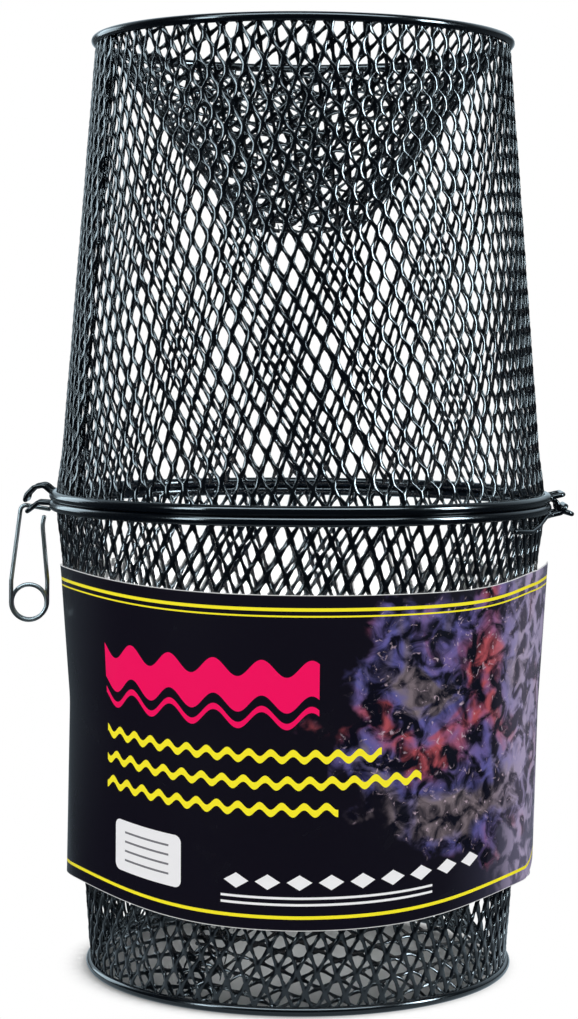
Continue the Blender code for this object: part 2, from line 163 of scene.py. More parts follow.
class Nodes:
    """Makes the nodes of one tree and joins them."""

    def __init__(self, tree):
        self.tree = tree

    def feed(self, node, values):
        """Link or set a node's sockets, by name or number. Set colours are opaque."""
        for key, value in values.items():
            socket = node.inputs[key]
            if isinstance(value, Socket):
                value = value.socket
            if isinstance(value, bpy.types.NodeSocket):
                self.tree.links.new(value, socket)
            elif socket.type == "RGBA":
                socket.default_value = (*value, 1.0)
            else:
                socket.default_value = value

    def node(self, kind, settings=None, sockets=None):
        """Make a node of a type, with its settings first and then its sockets."""
        made = self.tree.nodes.new(kind)
        for key, value in (settings or {}).items():
            if key == "stops":
                self.set_stops(made.color_ramp, value)
            else:
                setattr(made, key, value)
        self.feed(made, sockets or {})
        return made

    def set_stops(self, ramp, stops):
        """Give a colour ramp its (place, colour) stops."""
        while len(ramp.elements) < len(stops):
            ramp.elements.new(1.0)
        for element, (place, color) in zip(ramp.elements, stops):
            element.position = place
            element.color = (*color, 1.0)

    def number(self, node, output):
        """One output of a node, as a number to work on."""
        return Socket(self, node.outputs[output])

    def math(self, operation, *values):
        """Number maths on sockets and numbers."""
        settings = {"operation": operation}
        return self.number(self.node("ShaderNodeMath", settings, dict(enumerate(values))), 0)

    def most(self, first, second):
        """The larger of two numbers."""
        return self.math("MAXIMUM", first, second)

    def limit(self, value, low, high):
        """A number held between two others."""
        return self.math("MINIMUM", self.most(value, low), high)

    def smooth(self, value, start, stop):
        """Smooth step of a value from 0 at start to 1 at stop."""
        made = self.node("ShaderNodeMapRange", {"interpolation_type": "SMOOTHSTEP"},
                         {"Value": value, "From Min": start, "From Max": stop})
        return self.number(made, "Result")

    def split(self, vector):
        """The three numbers of a vector socket."""
        made = self.node("ShaderNodeSeparateXYZ", None, {"Vector": vector})
        return [self.number(made, axis) for axis in "XYZ"]

    def join(self, x, y, z=0.0):
        """A vector socket of three numbers."""
        return self.node("ShaderNodeCombineXYZ", None, {"X": x, "Y": y, "Z": z}).outputs["Vector"]

    def mix_color(self, share, first, second):
        """A colour between two, by a share."""
        made = self.node("ShaderNodeMix", {"data_type": "RGBA"}, {0: share, 6: first, 7: second})
        return made.outputs[2]

    def noise(self, vector, scale, detail=2.0, distortion=0.0, output="Fac"):
        """One output of a noise texture over a vector."""
        made = self.node("ShaderNodeTexNoise", None, {
            "Vector": vector, "Scale": scale, "Detail": detail, "Distortion": distortion})
        return self.number(made, output)

    def place(self):
        """Where a point lies on the object."""
        return self.node("ShaderNodeTexCoord").outputs["Object"]

    def unwrapped(self, layer):
        """The two numbers of a piece's own map."""
        return self.split(self.node("ShaderNodeUVMap", {"uv_map": layer}).outputs["UV"])[:2]

    def bump(self, strength, distance, height):
        """Normal of an uneven surface."""
        return self.node("ShaderNodeBump", None, {
            "Strength": strength, "Distance": distance, "Height": height}).outputs["Normal"]


# Finishes


def new_finish(name):
    """A material with a Principled shader, its nodes and its shader."""
    look = bpy.data.materials.new(name)
    look.use_nodes = True
    return look, Nodes(look.node_tree), look.node_tree.nodes["Principled BSDF"]


def vinyl_finish():
    """Glossy black vinyl coating with a dipped, slightly pebbled surface."""
    if "black_vinyl" in bpy.data.materials:
        return bpy.data.materials["black_vinyl"]
    colors = bpy.context.scene.trap_colors
    look, nodes, shader = new_finish("black_vinyl")
    place = nodes.place()
    cloudy = nodes.noise(place, 60.0, 3.0)
    pebbles = nodes.noise(place, 900.0)
    dust = nodes.smooth(nodes.noise(place, 260.0, 4.0, 0.6), 0.6, 0.85)
    nodes.feed(shader, {
        "Base Color": nodes.mix_color(dust * 0.35, colors.vinyl, colors.vinyl_dust),
        "Roughness": 0.10 + cloudy * 0.10 + dust * 0.08,
        "Specular IOR Level": colors.vinyl_gloss,
        "Normal": nodes.bump(0.35, 0.03 * MM, pebbles + cloudy * 4.0),
    })
    return look


def steel_finish():
    """Drawn spring wire, bright, with fine lines along it."""
    colors = bpy.context.scene.trap_colors
    look, nodes, shader = new_finish("spring_steel")
    along, around = nodes.unwrapped("along")
    lines = nodes.noise(nodes.join(along * 12.0, around * 40.0), 1.0, 3.0)
    tarnish = nodes.smooth(nodes.noise(nodes.place(), 120.0, 4.0, 0.4), 0.45, 0.8)
    nodes.feed(shader, {
        "Base Color": nodes.mix_color(tarnish * 0.55, colors.steel, colors.steel_tarnish),
        "Roughness": 0.30 + lines * 0.12 + tarnish * 0.08,
        "Metallic": 1.0,
        "Normal": nodes.bump(0.3, 0.02 * MM, lines),
    })
    return look


def board_finish(name, color):
    """Bare card of the sleeve's cut edges and its back."""
    look, nodes, shader = new_finish(name)
    fibres = nodes.noise(nodes.place(), 1400.0, 3.0)
    nodes.feed(shader, {
        "Base Color": nodes.mix_color(fibres * 0.5, color, [part * 0.72 for part in color]),
        "Roughness": 0.8,
        "Normal": nodes.bump(0.25, 0.05 * MM, fibres),
    })
    return look


def print_finish():
    """Glossy black card printed with waves, lozenges, plain rules and a pond-bed field, with a
    painted sheen towards the right.
    """
    colors = bpy.context.scene.trap_colors
    sleeve = bpy.context.scene.trap_sleeve
    look, nodes, shader = new_finish("printed_card")
    turn, level = nodes.unwrapped("wrap")

    # Millimetres from the front and from the ground; the print comes twice in a turn
    per_turn = FULL_TURN * sleeve.print_radius / MM
    panel = per_turn / 2
    sweep = sleeve.end_turn - sleeve.start_turn
    across = (turn * (sweep / FULL_TURN * per_turn)
              + (sleeve.start_turn / FULL_TURN - 1) * per_turn)
    x = (across + panel / 2) % panel - panel / 2
    y = level * ((sleeve.top - sleeve.bottom) / MM) + sleeve.bottom / MM

    def within(low, high):
        return (x > low) * (x < high)

    def stroke(offset, half_width):
        return abs(offset) < half_width

    def wave(length, height, shift=0.0):
        return nodes.math("SINE", x * (FULL_TURN / length) + shift) * height

    # Pond-bed field on the right, with a painted sheen and painted reflection streaks growing
    # towards its right and fading out at its end
    spot = nodes.join(x, y)
    ragged = nodes.noise(spot, 0.045, 3.0, 0.4)
    reach_x = (x - 88.0) / 74.0
    reach_y = (y - 122.0) / 62.0
    field = nodes.smooth(reach_x * reach_x + reach_y * reach_y + (ragged - 0.5) * 2.2, 1.05, 0.75)
    weed = nodes.noise(spot, 0.11, 7.0, 0.7)
    tone = nodes.noise(nodes.join(x + 300.0, y), 0.030, 3.0, 0.5)
    weed_tones = nodes.node("ShaderNodeValToRGB", {"stops": (
        (0.38, (0.190, 0.150, 0.170)),
        (0.46, (0.105, 0.100, 0.330)),
        (0.54, (0.160, 0.110, 0.300)),
        (0.62, (0.460, 0.080, 0.100)),
    )}, {"Fac": tone}).outputs["Color"]
    depths = nodes.mix_color(nodes.smooth(weed, 0.40, 0.66), (0.003, 0.003, 0.010), weed_tones)
    glints = nodes.smooth(nodes.noise(spot, 0.34, 4.0, 0.9), 0.60, 0.74)
    sheen_fade = nodes.smooth(x, 167.0, 148.0)
    painted_sheen_streaks = nodes.smooth(weed, 0.42, 0.60) * 0.70 + 0.18

    # Waves: a broad and a narrow one in red, and three short water lines in yellow
    left = -92.0
    swell = wave(20.0, 3.6)
    bands = nodes.most(stroke(y - 139.0 - swell, 7.4), stroke(y - 126.0 - swell, 1.3))
    rules = stroke(y - 171.0, 0.7) + stroke(y - 168.2, 0.35) + stroke(y - 43.5, 0.7)
    for height, stop in ((110.0, 34.0), (99.0, 52.0), (88.0, 16.0)):
        rules = rules + within(left, stop) * stroke(y - height - wave(9.0, 1.5, height), 1.5)

    # Lozenges along the foot, over two fine rules
    step = (x + 500.0) % 13.0 - 6.5
    lozenges = within(-32.0, 85.0) * (abs(step) / 5.2 + abs(y - 58.0) / 3.2 < 1.0)
    fine_rules = within(-32.0, 58.0) * (stroke(y - 51.5, 0.5) + stroke(y - 48.8, 0.5))

    # Blank panel with round corners and plain grey rules, low on the left
    panel_x, panel_y = x + 68.0, y - 62.0
    side = nodes.most(abs(panel_x) - 15.0, 0.0)
    rise = nodes.most(abs(panel_y) - 8.0, 0.0)
    blank = side * side + rise * rise < 9.0
    lines = (stroke((panel_y + 100.0) % 4.0 - 2.0, 0.45) * stroke(panel_x, 12.0)
             * stroke(panel_y, 7.0))

    edge = nodes.smooth(abs(level - 0.5), 0.4972, 0.4990)
    # Painted sheen: the card's ground turns a lighter blue-grey towards the right, where the right
    # light reflects
    color = nodes.mix_color(nodes.smooth(x, 60.0, 135.0) * sheen_fade, colors.card,
                            (0.060, 0.062, 0.105))
    for share, ink in (
        (field, nodes.mix_color(glints * 0.65, depths, (0.66, 0.50, 0.60))),
        # Painted reflection: pale lilac streaks over the right part of the field
        (nodes.smooth(x, 86.0, 124.0) * sheen_fade * painted_sheen_streaks, (0.46, 0.39, 0.57)),
        (within(left, 8.0) * bands, colors.print_red),
        (nodes.math("MINIMUM", rules, 1.0), colors.print_yellow),
        (nodes.most(lozenges, fine_rules), colors.print_white),
        (blank, colors.print_white),
        (lines, (0.18, 0.18, 0.20)),
        (edge * 0.8, colors.card_edge),
    ):
        color = nodes.mix_color(share, color, ink)

    place = nodes.place()
    scuffs = nodes.smooth(nodes.noise(place, 45.0, 5.0, 1.0), 0.55, 0.8)
    paper = nodes.noise(place, 1500.0)
    buckle = nodes.noise(place, 22.0)
    nodes.feed(shader, {
        "Base Color": color,
        "Roughness": 0.24 + scuffs * 0.08 + edge * 0.3,
        "Specular IOR Level": 0.16,
        "Normal": nodes.bump(0.4, 0.05 * MM, paper * 0.4 + buckle * 10.0),
    })
    return look


# Shapes


def link(name, data):
    """New object of some data, linked to the scene."""
    made = bpy.data.objects.new(name, data)
    bpy.context.scene.collection.objects.link(made)
    return made


def linked_object(name, shape, finish=None):
    """Turn a bmesh into a linked, smooth-shaded object."""
    mesh = bpy.data.meshes.new(name)
    shape.to_mesh(mesh)
    shape.free()
    mesh.shade_smooth()
    if finish is not None:
        mesh.materials.append(finish)
    return link(name, mesh)


def closed_object(name, shape, finish=None):
    """Turn a closed bmesh into an object, its faces looking outwards."""
    bmesh.ops.recalc_face_normals(shape, faces=shape.faces)
    return linked_object(name, shape, finish)


def settle(piece, node, body):
    """Let a piece stand for its node on a body."""
    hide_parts(node)
    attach(piece, body)


def at_axis(point):
    """A point about the trap's axis, in the frame."""
    return Vector((point[0] + AXIS_X, point[1], point[2]))


def circle(count):
    """Cosine and sine of even steps round a circle."""
    angles = [FULL_TURN * step / count for step in range(count)]
    return [(math.cos(angle), math.sin(angle)) for angle in angles]


def wall_radius(height):
    """Outer radius of a basket at a height above its own small end."""
    return (WALL_END_RADIUS
            + (WALL_SEAM_RADIUS - WALL_END_RADIUS) * height / (TRAP_LENGTH / 2))


def rounded(corners, radius, steps=10):
    """Points of a path through the corners, each inner corner turned on an arc."""
    points = [corners[0]]
    for before, corner, after in zip(corners, corners[1:], corners[2:]):
        back = (before - corner).normalized()
        ahead = (after - corner).normalized()
        half_angle = back.angle(ahead) / 2
        room = 0.49 * min((before - corner).length, (after - corner).length)
        cut = min(radius / math.tan(half_angle), room)
        bend = cut * math.tan(half_angle)
        middle = corner + (back + ahead).normalized() * math.hypot(cut, bend)
        start = corner + back * cut - middle
        sweep = math.pi - 2 * half_angle
        turn_axis = start.cross(corner + ahead * cut - middle).normalized()
        side = turn_axis.cross(start)
        for step in range(steps + 1):
            angle = sweep * step / steps
            points.append(middle + start * math.cos(angle) + side * math.sin(angle))
    points.append(corners[-1])
    return points


def tube(shape, points, radius, sides=16):
    """Round wire along the points, with domed ends and a map of its length and girth."""
    layer = shape.loops.layers.uv.get("along") or shape.loops.layers.uv.new("along")
    dome = [(-math.cos(math.radians(part)) * 0.7, math.sin(math.radians(part)))
            for part in (12, 40, 68)]
    first = (points[1] - points[0]).normalized()
    last = (points[-1] - points[-2]).normalized()
    stations = [(points[0] + first * radius * back, size) for back, size in dome]
    stations += [(point, 1.0) for point in points]
    stations += [(points[-1] - last * radius * back, size) for back, size in reversed(dome)]
    side_way = first.orthogonal().normalized()
    rings = []
    along = 0.0
    for index, (middle, size) in enumerate(stations):
        before = stations[max(0, index - 1)][0]
        after = stations[min(len(stations) - 1, index + 1)][0]
        heading = (after - before).normalized()
        side_way = (side_way - heading * side_way.dot(heading)).normalized()
        other_way = heading.cross(side_way)
        along += (middle - before).length
        ring = [shape.verts.new(at_axis(
            middle + (side_way * cosine + other_way * sine) * radius * size))
            for cosine, sine in circle(sides)]
        rings.append((ring, along))
    for (near, near_along), (far, far_along) in zip(rings, rings[1:]):
        for side in range(sides):
            ahead = (side + 1) % sides
            face = shape.faces.new((near[side], near[ahead], far[ahead], far[side]))
            ways = ((near_along, side), (near_along, side + 1),
                    (far_along, side + 1), (far_along, side))
            for loop, (length, girth) in zip(face.loops, ways):
                loop[layer].uv = (length / (100 * MM), girth / sides)
    shape.faces.new(list(reversed(rings[0][0])))
    shape.faces.new(rings[-1][0])


def bead(shape, middle, sizes, rings=8, sides=14):
    """Weld bead: a small closed egg shape about a point."""
    middle = Vector(middle)
    around = []
    for ring in range(1, rings):
        slope = math.pi * ring / rings
        around.append([shape.verts.new(at_axis(middle + Vector((
            sizes[0] * math.sin(slope) * cosine,
            sizes[1] * math.sin(slope) * sine,
            sizes[2] * math.cos(slope))))) for cosine, sine in circle(sides)])
    top = shape.verts.new(at_axis(middle + Vector((0, 0, sizes[2]))))
    foot = shape.verts.new(at_axis(middle - Vector((0, 0, sizes[2]))))
    for side in range(sides):
        ahead = (side + 1) % sides
        shape.faces.new((top, around[0][side], around[0][ahead]))
        shape.faces.new((foot, around[-1][ahead], around[-1][side]))
        for near, far in zip(around, around[1:]):
            shape.faces.new((near[side], far[side], far[ahead], near[ahead]))


def staple(side_line, half_width):
    """Corners of a U loop whose two legs follow (x, z) points and meet in a cross bar."""
    near = [Vector((x, -half_width, z)) for x, z in side_line]
    far = [Vector((x, half_width, z)) for x, z in reversed(side_line)]
    return near + far


def weld_point(side, half_width, height, angle_deg):
    """Point beside the seam rim's surface, at an angle above the level."""
    angle = math.radians(angle_deg)
    middle = math.sqrt(SEAM_RIM_RADIUS ** 2 - half_width ** 2)
    return side * (middle + WELD * math.cos(angle)), height + WELD * math.sin(angle)


def run_into_rim(corners, rim_height):
    """Lengthen a U loop's two legs into the rim wire, and say where they meet it."""
    ends = []
    for end in (0, -1):
        corner = corners[end]
        outward = Vector((corner.x, corner.y, 0)).normalized()
        core = outward * SEAM_RIM_RADIUS + Vector((0, 0, rim_height))
        corners[end] = corner.lerp(core, LEG_DEPTH)
        ends.append(corner.lerp(core, BEAD_DEPTH))
    return ends


def welded_loop(name, node_corners, radius, bend, rim_height, body):
    """U loop of coated wire with a weld bead at each leg."""
    shape = bmesh.new()
    corners = list(node_corners)
    welds = run_into_rim(corners, rim_height)
    tube(shape, rounded(corners, bend), radius)
    for weld in welds:
        bead(shape, weld, [radius * size for size in BEAD_SIZES])
    piece = closed_object(name + "_wire", shape, vinyl_finish())
    settle(piece, name, body)


# The mesh


def strand_unit(sizes):
    """One crossing of the expanded mesh: a slanted bond and four half strands."""
    shape = bmesh.new()
    lean = math.tan(sizes.strand_lean)
    half = sizes.strand_thickness / 2
    edge = sizes.strand_rounding
    waist = sizes.bond_width / 2
    crotch = sizes.cell_height / 2 - sizes.opening_height / 2
    middle_u = sizes.cell_width / 4
    middle_v = sizes.cell_height / 4
    inner = middle_u - sizes.strand_width / 2
    outer = middle_u + sizes.strand_width / 2
    shoulder = waist + (outer - waist) * crotch / middle_v * 0.95

    def corner(u, v, layer, level=0.0):
        return shape.verts.new((u, v, lean * (u - level) + layer * half))

    def rounded_edge(u, v, side_u, side_v):
        """Outermost, front and back corner of a rounded edge, which faces a side."""
        u_in, v_in = u - side_u * edge, v - side_v * edge
        return [corner(u, v, 0), corner(u_in, v_in, 1), corner(u_in, v_in, -1)]

    left, right = [rounded_edge(side * waist, 0, side, 0) for side in (-1, 1)]
    bond = {-1: left, 1: right}
    for end in (-1, 1):
        fork = rounded_edge(0, end * crotch, 0, end)
        shoulders = {side: rounded_edge(side * shoulder, end * crotch, side, 0)
                     for side in (-1, 1)}
        for layer in (1, 2):
            shape.faces.new((left[layer], right[layer], fork[layer]))
            for side in (-1, 1):
                shape.faces.new((bond[side][layer], shoulders[side][layer], fork[layer]))
                shape.faces.new((bond[side][0], shoulders[side][0],
                                 shoulders[side][layer], bond[side][layer]))
        for side in (-1, 1):
            level = side * middle_u
            near = [fork[0], fork[1], shoulders[side][1], shoulders[side][0],
                    shoulders[side][2], fork[2]]
            far = [corner(side * u, end * middle_v, layer, level) for u, layer in (
                (inner, 0), (inner + edge, 1), (outer - edge, 1),
                (outer, 0), (outer - edge, -1), (inner + edge, -1))]
            for index in range(6):
                ahead = (index + 1) % 6
                shape.faces.new((near[index], near[ahead], far[ahead], far[index]))
    bmesh.ops.recalc_face_normals(shape, faces=shape.faces)
    top = max(shape.faces, key=lambda face: face.calc_center_median().z)
    if top.normal.z < 0:
        bmesh.ops.reverse_faces(shape, faces=shape.faces)
    return shape


INPUT_KINDS = {
    float: "NodeSocketFloat", int: "NodeSocketInt", bpy.types.Material: "NodeSocketMaterial"}
MERGE_GAP = 0.02 * MM
TRIM_GAP = 0.004 * MM
FLARE_REACH = (26.0 * MM, 4.0 * MM)


def expanded_mesh_tree(values):
    """Geometry nodes that roll a flat sheet of mesh up into a cone, with an input per value."""
    group = bpy.data.node_groups.new("expanded_mesh_cone", "GeometryNodeTree")
    for way in ("OUTPUT", "INPUT"):
        group.interface.new_socket(name="Geometry", in_out=way, socket_type="NodeSocketGeometry")
    for name, value in values.items():
        kind = INPUT_KINDS[type(value)]
        group.interface.new_socket(name=name, in_out="INPUT", socket_type=kind)
    nodes = Nodes(group)
    given = nodes.node("NodeGroupInput")
    size = {name: nodes.number(given, name) for name in values}
    cell_width = size["Cell Width"]
    half_cell = size["Cell Height"] / 2.0

    def then(kind, geometry, sockets):
        """A node that works on the geometry so far, and its geometry."""
        return nodes.node(kind, None, {0: geometry} | sockets).outputs[0]

    def position():
        return nodes.node("GeometryNodeInputPosition").outputs["Position"]

    def polar(u, v):
        """Distance from the sheet's apex, and the swing from its middle."""
        return nodes.math("SQRT", u * u + v * v), nodes.math("ARCTAN2", u, v)

    # Crossings of the flat sheet, every second row moved over by half a cell
    grid = nodes.node("GeometryNodeMeshGrid", None, {
        "Size X": (size["Columns"] - 1.0) * cell_width,
        "Size Y": (size["Rows"] - 1.0) * half_cell,
        "Vertices X": size["Columns"],
        "Vertices Y": size["Rows"],
    }).outputs["Mesh"]
    u, v, _ = nodes.split(position())
    row = nodes.math("ROUND", v / half_cell + (size["Rows"] - 1.0) / 2.0)
    shifted = u + (row % 2.0 - 0.5) * cell_width / 2.0
    crossings = then("GeometryNodeSetPosition", grid, {
        "Position": nodes.join(shifted, v + size["Middle"])})

    # Only the crossings on the sheet, with a part cell over at its edges
    u, v, _ = nodes.split(position())
    away, swing = polar(u, v)
    on_sheet = ((away > size["Small End"] - half_cell / 2.0)
                * (away < size["Large End"] + half_cell / 2.0)
                * (abs(swing) < size["Half Sweep"] + cell_width / 2.5 / away))
    units = then("GeometryNodeInstanceOnPoints", crossings, {
        "Selection": on_sheet, "Instance": given.outputs["Geometry"]})
    sheet = then("GeometryNodeMergeByDistance", then("GeometryNodeRealizeInstances", units, {}),
                 {"Distance": MERGE_GAP})

    # Roll the sheet: distance from the apex stays, and its angle opens out round the axis
    place = position()
    drift_u, drift_v, drift_w = nodes.split(nodes.noise(place, 45.0, 1.0, output="Color"))
    u, v, w = nodes.split(place)
    away, swing = polar(u + (drift_u - 0.5) * size["Wander"], v + (drift_v - 0.5) * size["Wander"])
    away = nodes.limit(away, size["Small End"], size["Large End"])
    sweep = size["Half Sweep"]
    swing = nodes.limit(swing, -sweep, sweep)
    lapped = nodes.smooth(swing, sweep - size["Lap"] * 1.7, sweep - size["Lap"] * 1.1)
    w = w - size["Depth"] - lapped * size["Lap Drop"] - drift_w * size["Wander"] * 0.6
    sine = nodes.math("SINE", size["Slope"])
    cosine = nodes.math("COSINE", size["Slope"])
    flared = nodes.smooth(away, *(size["Large End"] - reach for reach in FLARE_REACH))
    radius = away * sine + w * cosine + flared * size["Flare"]
    height = size["Apex"] + size["Way Up"] * (away * cosine - w * sine)
    azimuth = size["Azimuth"] + size["Way Up"] * swing / sine
    rolled = then("GeometryNodeSetPosition", sheet, {
        "Position": nodes.join(size["Axis X"] + radius * nodes.math("SINE", azimuth),
                               -radius * nodes.math("COSINE", azimuth), height)})
    trimmed = then("GeometryNodeMergeByDistance", rolled, {"Distance": TRIM_GAP})
    smooth = then("GeometryNodeSetShadeSmooth", trimmed, {"Shade Smooth": True})
    whole = then("GeometryNodeRealizeInstances", smooth, {})
    coated = then("GeometryNodeSetMaterial", whole, {"Material": given.outputs["Finish"]})
    nodes.node("NodeGroupOutput", None, {"Geometry": coated})
    return group


def rolled_mesh(name, small, large, azimuth_deg, way_up, lap_deg, flare=0.0):
    """Cone of expanded mesh between two (radius, height) edges of its outer face."""
    sizes = bpy.context.scene.trap_mesh
    slope = math.atan2(large[0] - small[0], abs(large[1] - small[1]))
    small_end = small[0] / math.sin(slope)
    large_end = large[0] / math.sin(slope)
    lap = math.radians(lap_deg) * math.sin(slope)
    sweep = math.pi * math.sin(slope) + lap / 2
    low = small_end * math.cos(sweep) if sweep < math.pi / 2 else large_end * math.cos(sweep)
    low -= sizes.cell_height
    high = large_end + sizes.cell_height
    wide = large_end * math.sin(min(sweep, math.pi / 2)) + sizes.cell_width
    values = {
        "Cell Width": sizes.cell_width,
        "Cell Height": sizes.cell_height,
        "Columns": 2 * math.ceil(wide / sizes.cell_width) + 1,
        "Rows": math.ceil((high - low) / (sizes.cell_height / 2)) + 1,
        "Middle": (high + low) / 2,
        "Slope": slope,
        "Small End": small_end,
        "Large End": large_end,
        "Half Sweep": sweep,
        "Lap": lap,
        "Lap Drop": sizes.lap_drop,
        "Depth": sizes.sheet_depth,
        "Wander": sizes.wander,
        "Flare": flare,
        "Apex": small[1] - way_up * small_end * math.cos(slope),
        "Way Up": float(way_up),
        "Azimuth": math.radians(azimuth_deg),
        "Axis X": AXIS_X,
        "Finish": vinyl_finish(),
    }
    seed = linked_object(name + "_unit", strand_unit(sizes))
    group = bpy.data.node_groups.get("expanded_mesh_cone") or expanded_mesh_tree(values)
    roll = seed.modifiers.new("roll up", "NODES")
    roll.node_group = group
    for item in group.interface.items_tree:
        if item.in_out == "INPUT" and item.name in values:
            roll[item.identifier] = values[item.name]
    seen = bpy.context.evaluated_depsgraph_get()
    mesh = bpy.data.meshes.new_from_object(seed.evaluated_get(seen))
    mesh.name = name
    seed.modifiers.remove(roll)
    bpy.data.objects.remove(seed, do_unlink=True)
    return link(name, mesh)


def rolled_pair(node_kind, piece_kind, way_up, azimuth_deg, small, large, lap_deg, flare=0.0):
    """Mesh cones of both halves: the upper one is the lower one turned over."""
    for half, way, azimuth in (("lower", way_up, azimuth_deg),
                               ("upper", -way_up, 180 - azimuth_deg)):
        edges = [(radius, TRAP_LENGTH - height if half == "upper" else height)
                 for radius, height in (small, large)]
        piece = rolled_mesh(half + piece_kind, *edges, azimuth, way, lap_deg, flare)
        settle(piece, half + node_kind, half + "_half")


# What a user would change


def a_number(name, description, default, **kind):
    """Plain number."""
    return bpy.props.FloatProperty(name=name, description=description, default=default, **kind)


def a_length(name, description, millimetres):
    """Length stated in millimetres."""
    return a_number(name, description, millimetres * MM, unit="LENGTH")


def an_angle(name, description, degrees):
    """Angle stated in degrees."""
    return a_number(name, description, math.radians(degrees), unit="ROTATION")


def a_color(name, description, default):
    """Colour."""
    return bpy.props.FloatVectorProperty(name=name, description=description, default=default,
                                         subtype="COLOR")


class TrapMeshSizes(bpy.types.PropertyGroup):
    """Sizes of the expanded mesh."""

    cell_width: a_length("Cell width", "Width of one diamond", 8.45)
    cell_height: a_length("Cell height", "Height of one diamond", 17.2)
    opening_height: a_length("Opening height", "Clear height of a diamond", 12.2)
    bond_width: a_length("Bond width", "Width where two strands join", 2.45)
    strand_width: a_length("Strand width", "Level width of one coated strand", 1.62)
    strand_thickness: a_length("Strand thickness", "Thickness of a coated strand", 1.05)
    strand_rounding: a_length(
        "Strand rounding", "How far the coating rounds a strand's edges", 0.42)
    strand_lean: an_angle("Strand lean", "Tilt of the strands out of the sheet", 8)
    sheet_depth: a_length(
        "Sheet depth", "How far the sheet's middle lies inside its outer face", 0.85)
    seam_flare: a_length("Seam flare", "How far a basket's wall flares just before the seam", 1.0)
    lap_drop: a_length("Lap drop", "How far the lapped end lies inside the other", 1.6)
    wander: a_length("Wander", "Unevenness of the diamonds", 0.9)


class TrapSleeveSizes(bpy.types.PropertyGroup):
    """Sizes of the card sleeve."""

    bottom: a_length("Bottom", "Height of the card's lower edge", 38.0)
    top: a_length("Top", "Height of the card's upper edge", 177.0)
    waist: a_length("Waist", "Height below which the card stands off more", 118.0)
    top_slack: a_length("Top slack", "Gap to the mesh at the upper edge", 0.6)
    waist_slack: a_length("Waist slack", "Gap to the mesh at the waist", 2.0)
    bottom_slack: a_length("Bottom slack", "Gap to the mesh at the lower edge", 7.2)
    card: a_length("Card", "Thickness of the card", 0.5)
    start_turn: an_angle("Start", "Azimuth where the card starts, under its free end", 70)
    end_turn: an_angle("End", "Azimuth of the free end, a full turn on", 448)
    flap_lift: a_length("Flap lift", "How far the free end springs out", 2.6)
    left_deg: a_number("Left side", "Azimuth in degrees where the top edge stands highest", -70.0)
    left_climb: a_length("Left climb", "How far the top edge climbs there", 4.3)
    left_pull: a_length("Left pull", "How far the card is drawn in at its waist on the left", 1.9)
    right_deg: a_number(
        "Right side", "Azimuth in degrees of the top edge's climb on the right", 70.0)
    right_climb: a_length("Right climb", "How far the top edge climbs there", 4.2)
    foot_deg: a_number("Foot sides", "Azimuth in degrees where the lower edge stands highest", 62.0)
    foot_climb: a_length("Foot climb", "How far the lower edge climbs there", 7.4)
    print_radius: a_length("Print radius", "Radius at which the print is laid out", 103.0)


class TrapColors(bpy.types.PropertyGroup):
    """Colours of the trap's finishes."""

    vinyl: a_color("Vinyl", "Coating of mesh and wires", (0.0008, 0.0017, 0.0036))
    vinyl_dust: a_color("Vinyl dust", "Film in the coating's hollows", (0.0022, 0.0040, 0.0072))
    vinyl_gloss: a_number(
        "Vinyl gloss", "Strength of the coating's reflections", 0.5, subtype="FACTOR")
    steel: a_color("Steel", "Bright spring wire", (0.26, 0.27, 0.27))
    steel_tarnish: a_color("Steel tarnish", "Dull places on the spring wire", (0.13, 0.13, 0.13))
    card: a_color("Card", "Ground colour of the print", (0.0055, 0.0045, 0.0105))
    card_edge: a_color("Card edge", "Cut edges of the card", (0.90, 0.90, 0.90))
    print_red: a_color("Print red", "Wave band", (0.93, 0.0, 0.11))
    print_yellow: a_color("Print yellow", "Rules", (0.97, 0.85, 0.02))
    print_white: a_color("Print white", "Lozenges and panel", (0.88, 0.88, 0.90))


class TrapStage(bpy.types.PropertyGroup):
    """Camera and light."""

    camera_height: a_length("Camera height", "Height of the lens", 277.3)
    camera_distance: a_length("Camera distance", "From the lens to the trap's axis", 1097.4)
    camera_roll: an_angle("Camera roll", "Turn of the camera about its line of sight", -0.33)
    lens: a_number("Lens", "Focal length in millimetres", 85.05)
    left_light: a_number("Left light", "Power of the light on the left", 10.0, unit="POWER")
    right_light: a_number("Right light", "Power of the light on the right", 32.0, unit="POWER")
    back_light: a_number("Back light", "Power of the light behind on the left", 5.0, unit="POWER")
    front_light: a_number("Front light", "Power of the high front light", 32.0, unit="POWER")
    inner_light: a_number(
        "Inner light", "Power of the fill light in the lower half", 0.70, unit="POWER")
    surround: a_number(
        "Surround", "Strength of the even light from all round", 1.0, subtype="FACTOR")
    front_shade: a_number(
        "Front shade", "Brightness that gloss reflects from the viewer's side", 0.03,
        subtype="FACTOR")


# One operator for each piece or group of like pieces


class TRAP_OT_baskets(bpy.types.Operator):
    """Roll the two tapered mesh walls"""

    bl_idname = "trap.baskets"
    bl_label = "Mesh walls"

    def execute(self, context):
        rolled_pair("_basket", "_mesh_wall", 1, 72.0, (wall_radius(WALL_FOOT_Z), WALL_FOOT_Z),
                    (wall_radius(WALL_HEAD_Z), WALL_HEAD_Z), WALL_LAP_DEG,
                    context.scene.trap_mesh.seam_flare)
        return {"FINISHED"}


class TRAP_OT_funnels(bpy.types.Operator):
    """Roll the two mesh funnels"""

    bl_idname = "trap.funnels"
    bl_label = "Mesh funnels"

    def execute(self, context):
        rolled_pair("_funnel", "_mesh_funnel", -1, 150.0, (FUNNEL_THROAT_RADIUS, FUNNEL_THROAT_Z),
                    (FUNNEL_FOOT_RADIUS, FUNNEL_FOOT_Z), FUNNEL_LAP_DEG)
        return {"FINISHED"}


